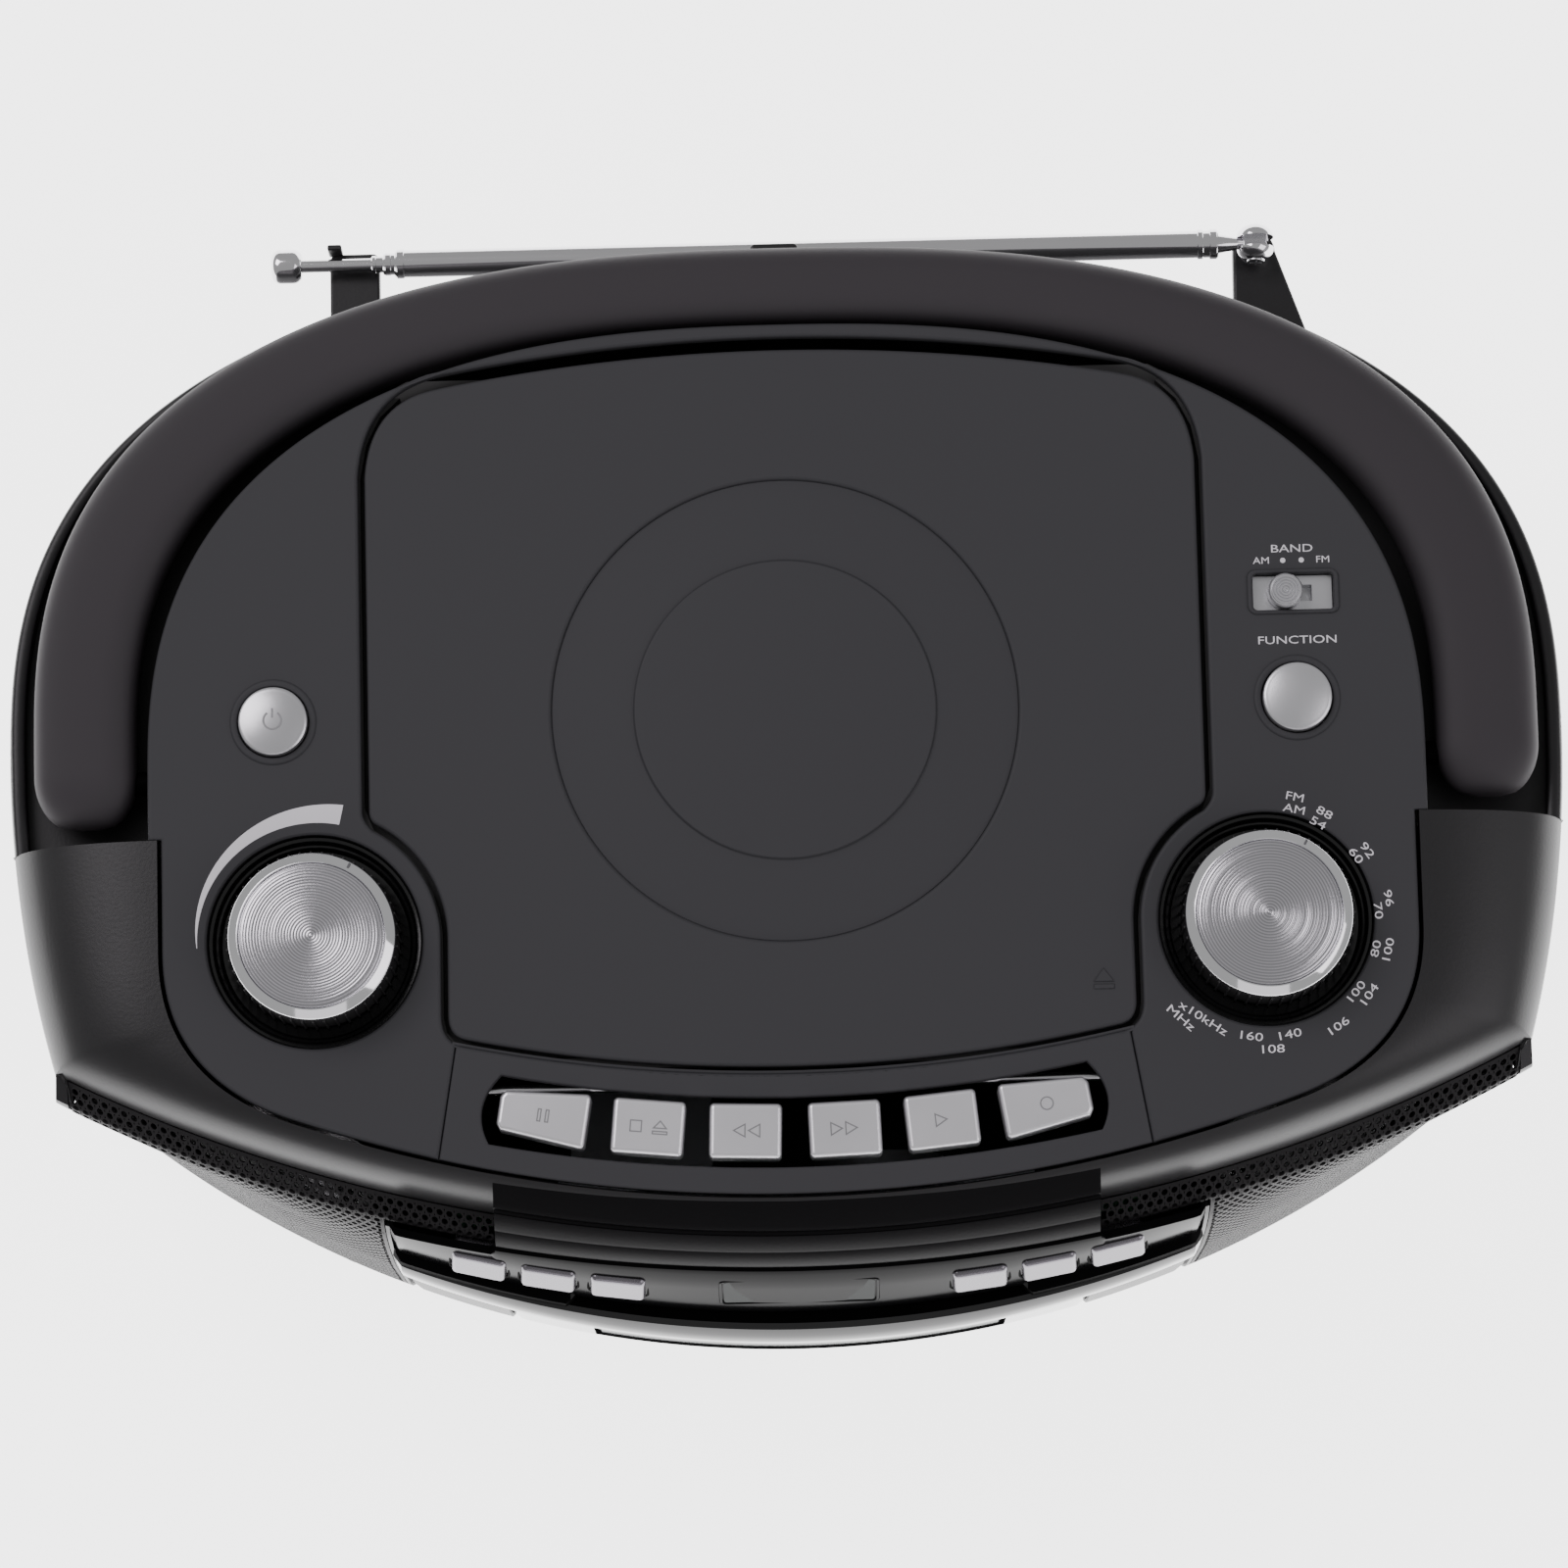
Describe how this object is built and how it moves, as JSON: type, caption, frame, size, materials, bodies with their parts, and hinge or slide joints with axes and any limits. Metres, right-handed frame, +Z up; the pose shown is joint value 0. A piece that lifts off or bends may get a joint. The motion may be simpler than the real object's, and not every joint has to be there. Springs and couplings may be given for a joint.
{
  "type": "portable cassette and disc radio",
  "caption": "Black portable radio, cassette and disc player with a hinged lid, swinging handle, tape keys, knobs and a telescopic antenna.",
  "frame": {"origin": "middle of the box round the whole object, on the surface that the feet stand on", "axes": "+Z up, front towards -Y, +X to the right seen from the front"},
  "size_m": [0.3232, 0.2356, 0.1475],
  "materials": {
    "cabinet_black": "fine moulded texture, satin",
    "deck_black": "fine moulded texture, satin",
    "handle_black": "soft satin",
    "tray_black": "matte",
    "grille_steel": "dark painted perforated steel",
    "gloss_black": "high gloss",
    "window_smoke": "smoked clear window",
    "board_green": "printed board",
    "hinge_steel": "plain steel",
    "foot_rubber": "matte rubber",
    "knob_chrome": "bright bevel over black body",
    "spun_aluminium": "concentric spun grooves",
    "control_grey": "zinc plated and grey",
    "cream_plastic": "plain",
    "silver_button": "satin silver paint",
    "silver_key": "satin silver paint with fine flake",
    "antenna_chrome": "bright chrome",
    "cone_paper": "pressed paper cone",
    "hub_plastic": "plain",
    "inlet_black": "plain"
  },
  "bodies": {
    "cabinet": {"front_cabinet": "cabinet_black", "rear_cabinet": "cabinet_black", "antenna_bracket": "cabinet_black", "top_panel": "deck_black", "key_surround": "deck_black", "cd_tray": "tray_black", "lid_hinge_pins": "hinge_steel", "grille_left": "grille_steel", "grille_right": "grille_steel", "control_panel": "gloss_black", "display_window": "window_smoke", "display_module": "board_green", "door_surround": "cabinet_black", "pivot_pins": "hinge_steel", "battery_box": "tray_black", "battery_contacts": "hinge_steel", "feet": "foot_rubber", "volume_pot": "control_grey", "tuning_capacitor": "cream_plastic", "band_switch": "control_grey", "key_shaft": "hinge_steel", "speaker_baskets": "control_grey", "speaker_cones": "cone_paper", "tape_mechanism": "control_grey", "cd_mechanism": "control_grey", "main_board": "board_green", "transformer": "control_grey", "ac_inlet": "inlet_black", "case_screws": "hinge_steel"},
    "handle": {"handle": "handle_black"},
    "cd_lid": {"cd_lid": "deck_black"},
    "disc_hub": {"disc_hub": "hub_plastic"},
    "cassette_door": {"cassette_door": "gloss_black", "cassette_holder": "tray_black"},
    "battery_door": {"battery_door": "cabinet_black"},
    "volume_knob": {"volume_knob": "knob_chrome", "volume_knob_cap": "spun_aluminium"},
    "tuning_knob": {"tuning_knob": "knob_chrome", "tuning_knob_cap": "spun_aluminium"},
    "power_button": {"power_button": "silver_button"},
    "function_button": {"function_button": "silver_button"},
    "band_slider": {"band_slider": "silver_button"},
    "pause_key": {"pause_key": "silver_key"},
    "stop_eject_key": {"stop_eject_key": "silver_key"},
    "rewind_key": {"rewind_key": "silver_key"},
    "fast_forward_key": {"fast_forward_key": "silver_key"},
    "play_key": {"play_key": "silver_key"},
    "record_key": {"record_key": "silver_key"},
    "button_left_outer": {"button_left_outer": "silver_key"},
    "button_left_middle": {"button_left_middle": "silver_key"},
    "button_left_inner": {"button_left_inner": "silver_key"},
    "button_right_inner": {"button_right_inner": "silver_key"},
    "button_right_middle": {"button_right_middle": "silver_key"},
    "button_right_outer": {"button_right_outer": "silver_key"},
    "antenna_swivel": {"antenna_swivel": "antenna_chrome", "antenna_screw": "antenna_chrome"},
    "antenna_tube_1": {"antenna_tube_1": "antenna_chrome"},
    "antenna_tube_2": {"antenna_tube_2": "antenna_chrome"},
    "antenna_tube_3": {"antenna_tube_3": "antenna_chrome"},
    "antenna_tip": {"antenna_tip": "antenna_chrome"}
  },
  "joints": [
    {"name": "handle_swing", "type": "hinge", "parent": "cabinet", "child": "handle", "pos_m": [0, -0.00134, 0.13065], "axis": [1, 0, 0], "range_deg": [0, 90]},
    {"name": "cd_lid_open", "type": "hinge", "parent": "cabinet", "child": "cd_lid", "pos_m": [0, 0.07954, 0.13838], "axis": [-1, 0, 0], "range_deg": [0, 55]},
    {"name": "disc_spin", "type": "hinge", "parent": "cabinet", "child": "disc_hub", "pos_m": [0, 0.01014, 0.12855], "axis": [0, -0.0349, 0.9994], "continuous": true},
    {"name": "cassette_door_open", "type": "hinge", "parent": "cabinet", "child": "cassette_door", "pos_m": [0, -0.1026, 0.0302], "axis": [1, 0, 0], "range_deg": [0, 25]},
    {"name": "battery_door_off", "type": "slide", "parent": "cabinet", "child": "battery_door", "axis": [0, 1, 0], "range_m": [0, 0.012]},
    {"name": "volume_turn", "type": "hinge", "parent": "cabinet", "child": "volume_knob", "pos_m": [-0.0968, -0.03608, 0.13694], "axis": [0, -0.0349, 0.9994], "range_deg": [-150, 150]},
    {"name": "tuning_turn", "type": "hinge", "parent": "cabinet", "child": "tuning_knob", "pos_m": [0.0968, -0.03608, 0.13694], "axis": [0, -0.0349, 0.9994], "range_deg": [-135, 135]},
    {"name": "power_press", "type": "slide", "parent": "cabinet", "child": "power_button", "axis": [0, 0.0349, -0.9994], "range_m": [0, 0.0015], "stiffness_N_per_m": 600, "springref_m": -0.0012},
    {"name": "function_press", "type": "slide", "parent": "cabinet", "child": "function_button", "axis": [0, 0.0349, -0.9994], "range_m": [0, 0.0015], "stiffness_N_per_m": 600, "springref_m": -0.0012},
    {"name": "band_slide", "type": "slide", "parent": "cabinet", "child": "band_slider", "axis": [1, 0, 0], "range_m": [0, 0.0033]},
    {"name": "pause_key_press", "type": "hinge", "parent": "cabinet", "child": "pause_key", "pos_m": [0, -0.06655, 0.12987], "axis": [1, 0, 0], "range_deg": [0, 9], "stiffness_Nm_per_rad": 0.2, "springref_deg": -8.59},
    {"name": "stop_eject_key_press", "type": "hinge", "parent": "cabinet", "child": "stop_eject_key", "pos_m": [0, -0.06655, 0.12987], "axis": [1, 0, 0], "range_deg": [0, 9], "stiffness_Nm_per_rad": 0.2, "springref_deg": -8.59},
    {"name": "rewind_key_press", "type": "hinge", "parent": "cabinet", "child": "rewind_key", "pos_m": [0, -0.06655, 0.12987], "axis": [1, 0, 0], "range_deg": [0, 9], "stiffness_Nm_per_rad": 0.2, "springref_deg": -8.59},
    {"name": "fast_forward_key_press", "type": "hinge", "parent": "cabinet", "child": "fast_forward_key", "pos_m": [0, -0.06655, 0.12987], "axis": [1, 0, 0], "range_deg": [0, 9], "stiffness_Nm_per_rad": 0.2, "springref_deg": -8.59},
    {"name": "play_key_press", "type": "hinge", "parent": "cabinet", "child": "play_key", "pos_m": [0, -0.06655, 0.12987], "axis": [1, 0, 0], "range_deg": [0, 9], "stiffness_Nm_per_rad": 0.2, "springref_deg": -8.59},
    {"name": "record_key_press", "type": "hinge", "parent": "cabinet", "child": "record_key", "pos_m": [0, -0.06655, 0.12987], "axis": [1, 0, 0], "range_deg": [0, 9], "stiffness_Nm_per_rad": 0.2, "springref_deg": -8.59},
    {"name": "button_left_outer_press", "type": "slide", "parent": "cabinet", "child": "button_left_outer", "axis": [0.2165, 0.9366, -0.2756], "range_m": [0, 0.001], "stiffness_N_per_m": 500, "springref_m": -0.001},
    {"name": "button_left_middle_press", "type": "slide", "parent": "cabinet", "child": "button_left_middle", "axis": [0.1697, 0.9462, -0.2756], "range_m": [0, 0.001], "stiffness_N_per_m": 500, "springref_m": -0.001},
    {"name": "button_left_inner_press", "type": "slide", "parent": "cabinet", "child": "button_left_inner", "axis": [0.1226, 0.9534, -0.2756], "range_m": [0, 0.001], "stiffness_N_per_m": 500, "springref_m": -0.001},
    {"name": "button_right_inner_press", "type": "slide", "parent": "cabinet", "child": "button_right_inner", "axis": [-0.1226, 0.9534, -0.2756], "range_m": [0, 0.001], "stiffness_N_per_m": 500, "springref_m": -0.001},
    {"name": "button_right_middle_press", "type": "slide", "parent": "cabinet", "child": "button_right_middle", "axis": [-0.1697, 0.9462, -0.2756], "range_m": [0, 0.001], "stiffness_N_per_m": 500, "springref_m": -0.001},
    {"name": "button_right_outer_press", "type": "slide", "parent": "cabinet", "child": "button_right_outer", "axis": [-0.2165, 0.9366, -0.2756], "range_m": [0, 0.001], "stiffness_N_per_m": 500, "springref_m": -0.001},
    {"name": "antenna_turn", "type": "hinge", "parent": "cabinet", "child": "antenna_swivel", "pos_m": [0.1025, 0.1154, 0.104], "axis": [0, 0, -1], "range_deg": [0, 180]},
    {"name": "antenna_raise", "type": "hinge", "parent": "antenna_swivel", "child": "antenna_tube_1", "pos_m": [0.1025, 0.1154, 0.104], "axis": [0, 1, 0], "range_deg": [0, 90]},
    {"name": "antenna_pull_1", "type": "slide", "parent": "antenna_tube_1", "child": "antenna_tube_2", "axis": [-1, 0, 0], "range_m": [0, 0.15]},
    {"name": "antenna_pull_2", "type": "slide", "parent": "antenna_tube_2", "child": "antenna_tube_3", "axis": [-1, 0, 0], "range_m": [0, 0.15]},
    {"name": "antenna_pull_3", "type": "slide", "parent": "antenna_tube_3", "child": "antenna_tip", "axis": [-1, 0, 0], "range_m": [0, 0.15]}
  ]
}
